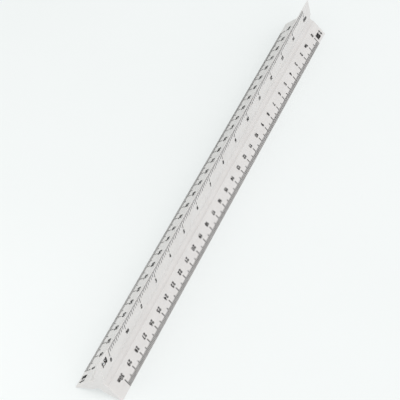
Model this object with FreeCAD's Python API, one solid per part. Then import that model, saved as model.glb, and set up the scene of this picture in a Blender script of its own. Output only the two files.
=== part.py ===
import FreeCAD, Part
import math
import os
from FreeCAD import Placement, Rotation, Vector

# A triangular scale ruler: one extruded plastic bar with three edges, and six printed scales.
# Millimetres. X runs along the ruler, Z is up. The ruler rests on its two lower edges, with the
# third edge, the crest, on top. The origin is at the middle of its length, between the lower
# edges, on the surface that it rests on.

# ---- Driving dimensions --------------------------------------------------------------------
LENGTH = 322.0          # whole bar, end to end
SCALE_LENGTH = 300.0    # printed length, in the middle of the bar
SIDE = 25.0             # width of each side, over the two rounded edges
EDGE_RADIUS = 0.25      # rounding of the three long edges
FACE_LEAN = 15.0        # degrees that a printed face leans in from the plane of its side
GROOVE_WIDTH = 4.8      # round groove along the middle of each side
GROOVE_DEPTH = 1.6      # its depth below the printed faces
LIP_RADIUS = 0.6        # rounding where the groove meets the printed faces
END_CHAMFER = 0.2       # broken corner around each sawn end

INK_THICKNESS = 0.04    # ink stands this far proud of the plastic
LINE_WIDTH = 0.32       # graduation lines
HEAVY_LINE_WIDTH = 0.44  # graduation lines of the 1:100 scale
LINE_LENGTHS = {"minor": 1.1, "unit": 2.2, "double": 2.8, "half": 3.3, "main": 4.5}

FIGURE_HEIGHT = 2.3     # figures under the main lines
FIGURE_DROP = 5.55      # from the rounded edge down to the top of the figures
FIGURE_PEN = 0.43       # pen width of the figures
FIGURE_SPACE = 0.38     # between two glyphs of a figure
TITLE_HEIGHT = 3.4      # bold narrow ratio, such as 1:100, at the start of each scale
TITLE_DROP = 1.3        # from the rounded edge down to the top of the title
TITLE_PEN = 0.6         # pen width of the title
TITLE_SPACE = 0.16      # between two glyphs of the title
TITLE_LEAD = 9.0        # from the start of the title to the zero line

# ---- Section of the bar ----------------------------------------------------------------------
NOSE_SPACING = SIDE - 2 * EDGE_RADIUS               # between the centres of two rounded edges
NOSE_REACH = NOSE_SPACING / math.sqrt(3)            # from the bar's axis to those centres
AXIS_HEIGHT = NOSE_REACH / 2 + EDGE_RADIUS          # the bar's axis above the resting plane
CORNER_HALF_ANGLE = 30 - FACE_LEAN                  # half the angle between two faces of an edge
AXIS = Vector(0, 0, AXIS_HEIGHT)


def across(angle):
    """Unit vector in the section, at an angle in degrees from straight up towards the left (+Y)."""
    turn = math.radians(angle)
    return Vector(0, math.sin(turn), math.cos(turn))


# The three long edges, by the direction in which each stands out from the axis.
EDGES = {"crest": 0, "left": 120, "right": -120}


class Face:
    """A flat printed face: from a rounded edge down to the groove of one side."""

    def __init__(self, edge, hand):
        """hand is 1 for the face on the anticlockwise side of the edge, seen from +X, or -1."""
        direction = EDGES[edge]
        nose_centre = AXIS + across(direction) * NOSE_REACH
        self.up = across(direction - hand * CORNER_HALF_ANGLE)
        self.out = across(direction + hand * (90 - CORNER_HALF_ANGLE))
        self.right = self.up.cross(self.out)
        self.top = nose_centre + self.out * EDGE_RADIUS
        slant = math.radians(FACE_LEAN)
        run = NOSE_SPACING / 2 - EDGE_RADIUS * math.sin(slant) - GROOVE_WIDTH / 2
        self.bottom = self.top - self.up * (run / math.cos(slant))

    def lay(self, solid, along, down):
        """Lay a solid that is drawn on the XY plane on the face, with its origin at a distance
        along the scale from the zero line and a distance down from the rounded edge."""
        place = self.top + self.right * (along - SCALE_LENGTH / 2) - self.up * down
        laid = solid.copy()
        laid.Placement = Placement(place, Rotation(self.right, self.up, self.out, "XYZ"))
        return laid


def section_wire():
    """Outline of the bar: three rounded edges, six printed faces and three round grooves."""
    curves = []
    for edge, direction in EDGES.items():
        left_face = Face(edge, 1)
        right_face = Face(edge, -1)
        nose_tip = AXIS + across(direction) * (NOSE_REACH + EDGE_RADIUS)
        curves.append(Part.Arc(right_face.top, nose_tip, left_face.top))
        curves.append(Part.LineSegment(left_face.top, left_face.bottom))
        curves.append(Part.LineSegment(right_face.top, right_face.bottom))
    for start, end in (("crest", "left"), ("left", "right"), ("right", "crest")):
        groove_start = Face(start, 1).bottom
        groove_end = Face(end, -1).bottom
        middle = (groove_start + groove_end) / 2
        inward = (AXIS - middle).normalize()
        curves.append(Part.Arc(groove_start, middle + inward * GROOVE_DEPTH, groove_end))
    return Part.Wire(Part.__sortEdges__([curve.toShape() for curve in curves]))


def is_lip(edge):
    """True for a long edge of the bar where a groove meets a printed face."""
    start = edge.Vertexes[0].Point
    end = edge.Vertexes[-1].Point
    if abs(abs(end.x - start.x) - LENGTH) > 1e-6:
        return False
    lips = [Face(name, hand).bottom for name in EDGES for hand in (1, -1)]
    return any(math.hypot(start.y - lip.y, start.z - lip.z) < 1e-3 for lip in lips)


def ruler_body():
    """The bar, with its groove lips rounded and the corners of its sawn ends broken."""
    bar = Part.Face(section_wire()).extrude(Vector(LENGTH, 0, 0))
    bar.translate(Vector(-LENGTH / 2, 0, 0))
    bar = bar.makeFillet(LIP_RADIUS, [edge for edge in bar.Edges if is_lip(edge)])
    ends = [edge for edge in bar.Edges if edge.BoundBox.XLength < 1e-6]
    return bar.makeChamfer(END_CHAMFER, ends)


# ---- Lettering -------------------------------------------------------------------------------
# A glyph is drawn with a round pen in a cell that is 1 high. A pen stroke is a list of moves: two
# points are a straight move, three are an arc through the middle one. One point alone is a dot.
def straight(*points):
    """Straight moves from point to point."""
    return list(zip(points, points[1:]))


def ring(x, y, radius):
    """Two half turns that close on each other."""
    left, right = (x - radius, y), (x + radius, y)
    return [(left, (x, y + radius), right), (right, (x, y - radius), left)]


# Each glyph has a width and its pen strokes, on the pen's centre line.
FIGURE_GLYPHS = {
    "0": (0.56, [[((0, 0.7), (0.28, 1), (0.56, 0.7)), ((0.56, 0.7), (0.56, 0.3)),
                  ((0.56, 0.3), (0.28, 0), (0, 0.3)), ((0, 0.3), (0, 0.7))]]),
    "1": (0.26, [straight((0, 0.74), (0.26, 1), (0.26, 0))]),
    "2": (0.56, [[((0.02, 0.74), (0.3, 1), (0.5, 0.6))] + straight((0.5, 0.6), (0, 0), (0.56, 0))]),
    "3": (0.54, [[((0.02, 0.86), (0.5, 0.8), (0.22, 0.55))], [((0.22, 0.55), (0.54, 0.28), (0, 0.12))]]),
    "4": (0.6, [straight((0.44, 1), (0, 0.28), (0.6, 0.28)), straight((0.44, 1), (0.44, 0))]),
    "5": (0.54, [straight((0.5, 1), (0.06, 1), (0.02, 0.54)) + [((0.02, 0.54), (0.54, 0.3), (0, 0.08))]]),
    "6": (0.56, [ring(0.28, 0.28, 0.28), [((0, 0.28), (0.1, 0.75), (0.46, 1))]]),
    "7": (0.54, [straight((0, 1), (0.54, 1), (0.2, 0))]),
    "8": (0.56, [ring(0.28, 0.76, 0.24), ring(0.28, 0.28, 0.28)]),
    "9": (0.56, [ring(0.28, 0.72, 0.28), [((0.56, 0.72), (0.46, 0.25), (0.1, 0))]]),
    "m": (0.8, [[((0, 0), (0, 0.46)), ((0, 0.46), (0.2, 0.66), (0.4, 0.46)), ((0.4, 0.46), (0.4, 0))],
                [((0.4, 0.46), (0.6, 0.66), (0.8, 0.46)), ((0.8, 0.46), (0.8, 0))]]),
}
TITLE_GLYPHS = {
    "0": (0.3, [[((0, 0.85), (0.15, 1), (0.3, 0.85)), ((0.3, 0.85), (0.3, 0.15)),
                 ((0.3, 0.15), (0.15, 0), (0, 0.15)), ((0, 0.15), (0, 0.85))]]),
    "1": (0.16, [straight((0, 0.8), (0.16, 1), (0.16, 0))]),
    "2": (0.3, [[((0, 0.84), (0.17, 1), (0.28, 0.72))] + straight((0.28, 0.72), (0, 0), (0.3, 0))]),
    "5": (0.3, [straight((0.28, 1), (0.03, 1), (0.01, 0.6)) + [((0.01, 0.6), (0.3, 0.32), (0, 0.05))]]),
    ":": (0.2, [[((0.1, 0.12),)], [((0.1, 0.66),)]]),
    ".": (0.0, [[((0, 0.0),)]]),
}


def pen_move(points):
    """The edge that one move of the pen follows."""
    if len(points) == 2:
        return Part.LineSegment(*points).toShape()
    return Part.Arc(*points).toShape()


def bar_area(start, end, pen):
    """The area that the pen covers in one straight move, with its round ends."""
    ahead = (end - start).normalize() * (pen / 2)
    aside = Vector(-ahead.y, ahead.x, 0)
    outline = [Part.LineSegment(start + aside, end + aside),
               Part.Arc(end + aside, end + ahead, end - aside),
               Part.LineSegment(end - aside, start - aside),
               Part.Arc(start - aside, start - ahead, start + aside)]
    return Part.Face(Part.Wire([curve.toShape() for curve in outline]))


def inked_area(stroke, size, pen):
    """The flat area that the pen covers along one stroke of a glyph."""
    moves = [[Vector(x * size + pen / 2, y * size + pen / 2, 0) for x, y in move] for move in stroke]
    if len(moves[0]) == 1:
        return Part.Face(Part.Wire(Part.makeCircle(pen / 2, moves[0][0])))
    if len(moves) == 1 and len(moves[0]) == 2:
        return bar_area(*moves[0], pen)
    wire = Part.Wire([pen_move(move) for move in moves])
    outside = Part.Face(wire.makeOffset2D(pen / 2))
    if wire.isClosed():
        return outside.cut(Part.Face(wire.makeOffset2D(-pen / 2)))
    return outside


def glyph_solids(glyphs, height, pen):
    """Each glyph as its width and a thin solid of ink, with its lower left corner at the origin."""
    size = height - pen
    solids = {}
    for name, (width, strokes) in glyphs.items():
        areas = [inked_area(stroke, size, pen) for stroke in strokes]
        area = areas[0].multiFuse(areas[1:]).removeSplitter() if len(areas) > 1 else areas[0]
        solids[name] = (width * size + pen, area.extrude(Vector(0, 0, INK_THICKNESS)))
    return solids


def glyph_row_width(text, glyphs, gap):
    """Length of a row of glyphs."""
    return sum(glyphs[name][0] for name in text) + gap * (len(text) - 1)


def lay_text(face, text, glyphs, gap, start, baseline):
    """Lay a row of glyphs on a face: its left end at start, its foot at baseline below the edge."""
    solids = []
    for name in text:
        width, solid = glyphs[name]
        solids.append(face.lay(solid, start, baseline))
        start += width + gap
    return solids


# ---- Scales ----------------------------------------------------------------------------------
class Scale:
    """One printed scale. step is the distance between lines. kinds gives, for the longest kind of
    line first, after how many steps it comes again. A figure stands under every main line."""

    def __init__(self, title, edge, hand, step, kinds, figures, line_width=LINE_WIDTH):
        self.title = title
        self.face = Face(edge, hand)
        self.step = step
        self.kinds = kinds
        self.figures = figures
        self.line_width = line_width

    def name(self):
        return self.title.replace(":", "_").replace(".", "p")

    def lines(self):
        """The graduation lines, each a thin bar of ink across the edge."""
        solids = []
        for count in range(round(SCALE_LENGTH / self.step) + 1):
            kind = next(kind for kind, every in self.kinds if count % every == 0)
            length = LINE_LENGTHS[kind]
            corner = Vector(-self.line_width / 2, 0, 0)
            bar = Part.makeBox(self.line_width, length, INK_THICKNESS, corner)
            solids.append(self.face.lay(bar, count * self.step, length))
        return solids

    def figure_row(self, glyphs):
        """The figures. A metre sign follows its figure, and the figure stays under its line."""
        main_steps = dict(self.kinds)["main"]
        solids = []
        for count, text in enumerate(self.figures):
            number_width = glyph_row_width(text.rstrip("m"), glyphs, FIGURE_SPACE)
            start = count * main_steps * self.step - number_width / 2
            baseline = FIGURE_DROP + FIGURE_HEIGHT
            solids += lay_text(self.face, text, glyphs, FIGURE_SPACE, start, baseline)
        return solids

    def title_row(self, glyphs):
        """The ratio of the scale, before its zero line."""
        baseline = TITLE_DROP + TITLE_HEIGHT
        return lay_text(self.face, self.title, glyphs, TITLE_SPACE, -TITLE_LEAD, baseline)


def metre_figures(last, per_metre, unit):
    """Figures up to last, where one step between figures is 1 / per_metre of a metre. Whole metres
    get the sign m, and what lies between them is counted in units."""
    figures = []
    for count in range(last + 1):
        metres, rest = divmod(count, per_metre)
        whole = rest == 0 and count > 0
        figures.append(f"{metres}m" if whole else str(rest * unit))
    return figures


def counted_figures(last, unit):
    """Figures 0, 1, 2 and so on in whole units, with the sign m on the first and the last."""
    return [f"{count * unit}m" if count in (1, last) else str(count * unit) for count in range(last + 1)]


BY_ONE = [("main", 10), ("half", 5), ("unit", 1)]       # figure every 10 lines
BY_TWO = [("main", 20), ("half", 10), ("double", 2), ("minor", 1)]  # figure every 20 lines
BY_FIVE = [("main", 25), ("half", 5), ("unit", 1)]      # figure every 25 lines

SCALES = [
    Scale("1:50", "crest", -1, 1.0, BY_TWO, counted_figures(15, 1)),
    Scale("1:100", "right", 1, 1.0, BY_ONE, counted_figures(30, 1), HEAVY_LINE_WIDTH),
    Scale("1:10", "left", -1, 1.0, BY_ONE, metre_figures(30, 10, 10)),
    Scale("1:20", "crest", 1, 1.0, BY_ONE, metre_figures(30, 5, 20)),
    Scale("1:5", "left", 1, 1.0, BY_TWO, metre_figures(15, 10, 10)),
    Scale("1:2.5", "right", -1, 0.8, BY_FIVE, [str(5 * count) for count in range(16)]),
]


def export(node, solids):
    """Write one sub-part."""
    shape = solids[0] if len(solids) == 1 else Part.makeCompound(solids)
    shape.exportStep(f"parts/{node}.step")


def main():
    os.makedirs("parts", exist_ok=True)
    figure_glyphs = glyph_solids(FIGURE_GLYPHS, FIGURE_HEIGHT, FIGURE_PEN)
    title_glyphs = glyph_solids(TITLE_GLYPHS, TITLE_HEIGHT, TITLE_PEN)
    export("ruler_body", [ruler_body()])
    for scale in SCALES:
        export(f"lines_{scale.name()}", scale.lines())
        export(f"figures_{scale.name()}", scale.figure_row(figure_glyphs))
        export(f"title_{scale.name()}", scale.title_row(title_glyphs))


main()
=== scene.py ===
import bmesh
import bpy
import math
from mathutils import Matrix, Vector


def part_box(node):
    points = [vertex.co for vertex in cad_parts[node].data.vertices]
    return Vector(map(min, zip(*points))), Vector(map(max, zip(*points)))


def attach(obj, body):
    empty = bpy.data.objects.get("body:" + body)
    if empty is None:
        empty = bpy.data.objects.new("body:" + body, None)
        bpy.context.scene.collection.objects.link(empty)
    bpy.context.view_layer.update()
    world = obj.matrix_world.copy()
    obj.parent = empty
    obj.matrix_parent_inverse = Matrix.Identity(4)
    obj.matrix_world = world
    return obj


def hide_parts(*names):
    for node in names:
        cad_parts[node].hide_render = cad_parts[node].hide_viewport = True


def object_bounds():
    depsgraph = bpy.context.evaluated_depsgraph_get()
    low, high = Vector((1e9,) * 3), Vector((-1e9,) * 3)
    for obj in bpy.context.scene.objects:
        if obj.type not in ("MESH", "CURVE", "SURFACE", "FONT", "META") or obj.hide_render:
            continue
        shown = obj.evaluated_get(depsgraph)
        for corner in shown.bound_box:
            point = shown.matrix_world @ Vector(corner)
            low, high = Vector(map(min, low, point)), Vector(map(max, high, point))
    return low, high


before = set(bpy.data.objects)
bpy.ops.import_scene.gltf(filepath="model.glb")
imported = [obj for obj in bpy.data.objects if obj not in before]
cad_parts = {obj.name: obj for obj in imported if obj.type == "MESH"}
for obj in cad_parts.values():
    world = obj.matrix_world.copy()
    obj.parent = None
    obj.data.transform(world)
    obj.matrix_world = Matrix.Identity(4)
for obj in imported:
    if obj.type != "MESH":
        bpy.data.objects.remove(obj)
cad_low, cad_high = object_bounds()
MM = 0.001

# ---- Driving dimensions of the bar, in metres. Its length and its side come from the frame. ----
body_low, body_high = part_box("ruler_body")
LENGTH = body_high[0] - body_low[0]
SIDE = body_high[1] - body_low[1]
EDGE_RADIUS = 0.25 * MM
FACE_LEAN = math.radians(15.0)
GROOVE_WIDTH = 4.8 * MM
GROOVE_DEPTH = 1.6 * MM
LIP_RADIUS = 0.6 * MM
END_ROUND = 0.2 * MM
STATION_SPACING = 10 * MM       # between the cross-sections that the mesh has along the bar
NOSE_STEPS = 16                 # straight pieces of the mesh around each rounded edge
LIP_STEPS = 6                   # and around each groove lip
GROOVE_STEPS = 24               # and across each groove
END_STEPS = 4                   # and around the rounded corner of a sawn end

# ---- The camera: above the ruler's start end, on the side of its right edge -----------------
CAMERA_TARGET = Vector((-18.5, 0.8, 10.0)) * MM
CAMERA_DISTANCE = 1.0771
CAMERA_ELEVATION = math.radians(42.04)
CAMERA_BEARING = math.radians(19.19)    # of the line of sight, from +X towards +Y
CAMERA_ROLL = math.radians(2.207)
LENS = 179.67
SENSOR = 36.0


def add_camera():
    """The camera at its distance from the target, rolled about its line of sight."""
    data = bpy.data.cameras.new("camera")
    data.sensor_width = SENSOR
    data.lens = LENS
    data.clip_start = 0.05
    camera = bpy.data.objects.new("camera", data)
    bpy.context.scene.collection.objects.link(camera)
    level = math.cos(CAMERA_ELEVATION)
    east = level * math.cos(CAMERA_BEARING)
    north = level * math.sin(CAMERA_BEARING)
    sight = Vector((east, north, -math.sin(CAMERA_ELEVATION)))
    turn = sight.to_track_quat("-Z", "Y").to_matrix().to_4x4() @ Matrix.Rotation(CAMERA_ROLL, 4, "Z")
    camera.matrix_world = Matrix.Translation(CAMERA_TARGET - sight * CAMERA_DISTANCE) @ turn
    bpy.context.scene.camera = camera


# ---- Materials ---------------------------------------------------------------------------------
class Nodes:
    """A short way to write a material's nodes."""

    def __init__(self, name):
        self.material = bpy.data.materials.new(name)
        self.material.use_nodes = True
        self.tree = self.material.node_tree
        self.shader = self.tree.nodes["Principled BSDF"]

    def add(self, kind, inputs=None, **settings):
        node = self.tree.nodes.new(kind)
        for key, value in settings.items():
            setattr(node, key, value)
        for key, value in (inputs or {}).items():
            if isinstance(value, bpy.types.NodeSocket):
                self.tree.links.new(value, node.inputs[key])
            else:
                node.inputs[key].default_value = value
        return node

    def set(self, **values):
        for key, value in values.items():
            socket = self.shader.inputs[key.replace("_", " ")]
            if isinstance(value, bpy.types.NodeSocket):
                self.tree.links.new(value, socket)
            else:
                socket.default_value = value

    def place(self, scale):
        """Object coordinates, stretched."""
        coordinates = self.add("ShaderNodeTexCoord")
        mapping = self.add("ShaderNodeMapping", {"Vector": coordinates.outputs["Object"], "Scale": scale})
        return mapping.outputs["Vector"]

    def noise(self, scale, detail=3.0, roughness=0.5):
        node = self.add("ShaderNodeTexNoise", {"Vector": self.place(scale), "Scale": 1.0, "Detail": detail,
                                              "Roughness": roughness})
        return node.outputs["Fac"]

    def spread(self, value, low, high, new_low, new_high):
        node = self.add("ShaderNodeMapRange", {"Value": value, "From Min": low, "From Max": high,
                                              "To Min": new_low, "To Max": new_high})
        return node.outputs["Result"]

    def colours(self, value, *stops):
        node = self.add("ShaderNodeValToRGB", {"Fac": value})
        ramp = node.color_ramp
        while len(ramp.elements) < len(stops):
            ramp.elements.new(0.5)
        for element, (place, colour) in zip(ramp.elements, stops):
            element.position = place
            element.color = (*colour, 1)
        return node.outputs["Color"]

    def bump(self, height, distance, strength=1.0, below=None):
        inputs = {"Height": height, "Distance": distance, "Strength": strength}
        if below is not None:
            inputs["Normal"] = below
        return self.add("ShaderNodeBump", inputs).outputs["Normal"]


def white_plastic():
    """Extruded white plastic: faint cloudiness, die lines along the bar, and a satin skin."""
    n = Nodes("white_plastic")
    clouds = n.noise((60, 240, 240), 4, 0.6)
    colour = n.colours(clouds, (0.3, (0.668, 0.661, 0.653)), (0.7, (0.713, 0.706, 0.698)))
    die_lines = n.noise((3, 5000, 5000), 2, 0.6)
    grain = n.noise((2500, 2500, 2500), 2, 0.6)
    roughness = n.spread(n.noise((150, 400, 400), 3, 0.6), 0.3, 0.7, 0.34, 0.46)
    lined = n.bump(die_lines, 0.006 * MM)
    n.set(Base_Color=colour, Roughness=roughness, IOR=1.49, Subsurface_Weight=0.08,
          Subsurface_Radius=(1.2 * MM, 1.1 * MM, 1.0 * MM), Subsurface_Scale=1.0,
          Normal=n.bump(grain, 0.003 * MM, below=lined))
    return n.material


def sawn_plastic():
    """The same plastic where the saw cut it: matt, with the blade's parallel marks."""
    n = Nodes("sawn_plastic")
    clouds = n.noise((400, 400, 400), 4, 0.6)
    colour = n.colours(clouds, (0.3, (0.62, 0.615, 0.61)), (0.7, (0.67, 0.665, 0.66)))
    marks = n.noise((400, 6000, 500), 3, 0.7)
    n.set(Base_Color=colour, Roughness=n.spread(marks, 0.3, 0.7, 0.5, 0.65), IOR=1.49,
          Normal=n.bump(marks, 0.03 * MM))
    return n.material


def black_ink():
    """Printing ink, a little thinner in places."""
    n = Nodes("black_ink")
    patches = n.noise((1800, 1800, 1800), 3, 0.6)
    colour = n.colours(patches, (0.35, (0.006, 0.006, 0.007)), (0.75, (0.016, 0.016, 0.017)))
    n.set(Base_Color=colour, Roughness=n.spread(n.noise((900, 900, 900)), 0.3, 0.7, 0.55, 0.7), IOR=1.5,
          Specular_IOR_Level=0.12, Normal=n.bump(n.noise((5000, 5000, 5000), 2), 0.004 * MM))
    return n.material


def pale_floor():
    """A translucent table that is also lit a little from below, as for product pictures."""
    n = Nodes("pale_floor")
    colour = n.colours(n.noise((8, 8, 8), 3), (0.3, (0.46, 0.477, 0.477)), (0.7, (0.47, 0.487, 0.487)))
    n.set(Base_Color=colour, Roughness=n.spread(n.noise((60, 60, 60)), 0.3, 0.7, 0.75, 0.85),
          Emission_Color=(0.96, 1.0, 1.0, 1), Emission_Strength=0.42)
    return n.material


# ---- The bar ----------------------------------------------------------------------------------
NOSE_REACH = (SIDE - 2 * EDGE_RADIUS) / math.sqrt(3)    # from the bar's axis to a rounded edge's centre
AXIS_HEIGHT = NOSE_REACH / 2 + EDGE_RADIUS              # of the bar's axis above the table


def across(angle):
    """Unit vector in the section, turned by an angle from straight up towards +Y."""
    return Vector((0, math.sin(angle), math.cos(angle)))


def section():
    """Points of the bar's outline and the angles of their outward normals, anticlockwise from the
    crest, seen from +X. The outline turns smoothly everywhere."""
    outline = []

    def arc(centre, radius, first, last, steps, hollow=False):
        for step in range(steps + 1):
            angle = first + (last - first) * step / steps
            sign = -1 if hollow else 1
            outline.append((centre + across(angle) * radius * sign, angle))

    nose_reach = math.radians(60) + FACE_LEAN
    run = SIDE / 2 - EDGE_RADIUS - EDGE_RADIUS * math.sin(FACE_LEAN) - GROOVE_WIDTH / 2
    brim = NOSE_REACH / 2 + EDGE_RADIUS * math.cos(FACE_LEAN) - run * math.tan(FACE_LEAN)
    groove_radius = (GROOVE_WIDTH ** 2 / 4 + GROOVE_DEPTH ** 2) / (2 * GROOVE_DEPTH)
    axis = Vector((0, 0, AXIS_HEIGHT))
    for third in range(3):
        pointing = math.radians(120) * third
        nose = axis + across(pointing) * NOSE_REACH
        arc(nose, EDGE_RADIUS, pointing - nose_reach, pointing + nose_reach, NOSE_STEPS)

        # The groove of the side that follows this edge. Its brim is where it would meet the
        # printed face without a lip.
        side = pointing + math.radians(60)
        out = across(side)
        along = across(side + math.radians(90))
        groove_centre = axis + out * (brim - GROOVE_DEPTH + groove_radius)
        face_angle = side - FACE_LEAN
        face_end = axis + out * brim - along * GROOVE_WIDTH / 2

        # The lip is a circle in the plastic that touches the face line and the groove's circle.
        face_normal = across(face_angle)
        down_face = across(face_angle + math.radians(90))
        to_centre = groove_centre - face_end
        height = to_centre.dot(face_normal) + LIP_RADIUS
        slide = to_centre.dot(down_face) - math.sqrt((groove_radius + LIP_RADIUS) ** 2 - height ** 2)
        lip = face_end - face_normal * LIP_RADIUS + down_face * slide
        to_groove = (groove_centre - lip).normalized()
        meet = math.atan2(to_groove.y, to_groove.z)
        while meet < face_angle:
            meet += 2 * math.pi
        arc(lip, LIP_RADIUS, face_angle, meet, LIP_STEPS)
        arc(groove_centre, groove_radius, meet, 2 * side - meet, GROOVE_STEPS, hollow=True)
        other_lip = axis + out * (lip - axis).dot(out) - along * (lip - axis).dot(along)
        arc(other_lip, LIP_RADIUS, 2 * side - meet, 2 * side - face_angle, LIP_STEPS)
    return outline


def stations():
    """Places of the cross-sections along the bar, from end to end, each with how far its outline
    is set in, which rounds the sawn ends."""
    start = []
    for step in range(END_STEPS + 1):
        turn = math.radians(90) * step / END_STEPS
        start.append((-LENGTH / 2 + END_ROUND * (1 - math.cos(turn)), END_ROUND * (1 - math.sin(turn))))
    full = LENGTH - 2 * END_ROUND
    bays = round(full / STATION_SPACING)
    middle = [(-full / 2 + full * bay / bays, 0.0) for bay in range(1, bays)]
    return start + middle + [(-x, inset) for x, inset in reversed(start)]


def build_body(plastic, sawn):
    """The bar as one closed mesh, with the sawn plastic on its two end faces."""
    outline = section()
    count = len(outline)
    mesh = bmesh.new()
    rings = []
    for x, inset in stations():
        ring = []
        for point, angle in outline:
            set_in = point - across(angle) * inset
            ring.append(mesh.verts.new((x, set_in.y, set_in.z)))
        rings.append(ring)
    for near, far in zip(rings, rings[1:]):
        for k in range(count):
            after = (k + 1) % count
            mesh.faces.new((near[k], near[after], far[after], far[k]))
    for ring in (rings[0], rings[-1]):
        cap = mesh.faces.new(ring)
        cap.material_index = 1
    bmesh.ops.recalc_face_normals(mesh, faces=mesh.faces)
    for face in mesh.faces:
        face.smooth = face.material_index == 0      # the end faces stay flat
    data = bpy.data.meshes.new("body")
    mesh.to_mesh(data)
    mesh.free()
    data.materials.append(plastic)
    data.materials.append(sawn)
    body = bpy.data.objects.new("extruded_bar", data)
    bpy.context.scene.collection.objects.link(body)
    weighted = body.modifiers.new("even_normals", "WEIGHTED_NORMAL")
    weighted.mode = "FACE_AREA"
    weighted.keep_sharp = True
    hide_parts("ruler_body")
    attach(body, "root")


# ---- Studio -----------------------------------------------------------------------------------
TABLE_RADIUS = 6.0


def add_soft_light(name, bearing, elevation, power, colour, distance=1.8, size=1.2, target=(0, 0, 0)):
    """A round soft light that faces its target, from a bearing in degrees from +X towards +Y and
    an elevation in degrees. Power is in watts, distance and size in metres."""
    data = bpy.data.lights.new(name, "AREA")
    data.shape = "DISK"
    data.size = size
    data.energy = power
    data.color = colour
    light = bpy.data.objects.new(name, data)
    bpy.context.scene.collection.objects.link(light)
    turn, rise = math.radians(bearing), math.radians(elevation)
    away = Vector((math.cos(rise) * math.cos(turn), math.cos(rise) * math.sin(turn), math.sin(rise)))
    place = Matrix.Translation(Vector(target) + away * distance)
    light.matrix_world = place @ away.to_track_quat("Z", "Y").to_matrix().to_4x4()


def add_floor(material):
    """A wide round table under the ruler."""
    mesh = bmesh.new()
    bmesh.ops.create_circle(mesh, cap_ends=True, radius=TABLE_RADIUS, segments=64)
    data = bpy.data.meshes.new("floor")
    mesh.to_mesh(data)
    mesh.free()
    data.materials.append(material)
    floor = bpy.data.objects.new("floor", data)
    floor.location.z = cad_low[2]
    bpy.context.scene.collection.objects.link(floor)


def add_world(colour, strength):
    world = bpy.data.worlds.new("studio")
    world.use_nodes = True
    background = world.node_tree.nodes["Background"]
    background.inputs["Color"].default_value = (*colour, 1)
    background.inputs["Strength"].default_value = strength
    bpy.context.scene.world = world


add_camera()
add_world((0.985, 1.0, 0.985), 0.81)
add_soft_light("front", 180, 30, 3.9, (1.0, 0.91, 0.90))
add_soft_light("key", 225, 25, 3.8, (1.0, 0.91, 0.90))
add_soft_light("side", 270, 60, 4.5, (1.0, 0.91, 0.92))
add_soft_light("near", 120, 35, 0.14, (1.0, 0.97, 0.95), distance=0.3, size=0.2, target=(body_low[0], 0, 0))
add_soft_light("far", 320, 30, 0.18, (1.0, 0.90, 1.0), distance=0.65, size=0.35)
add_floor(pale_floor())
bpy.context.scene.view_settings.view_transform = "Standard"

ink = black_ink()
for name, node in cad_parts.items():
    if name != "ruler_body":
        for slot in node.material_slots:
            slot.material = ink
build_body(white_plastic(), sawn_plastic())
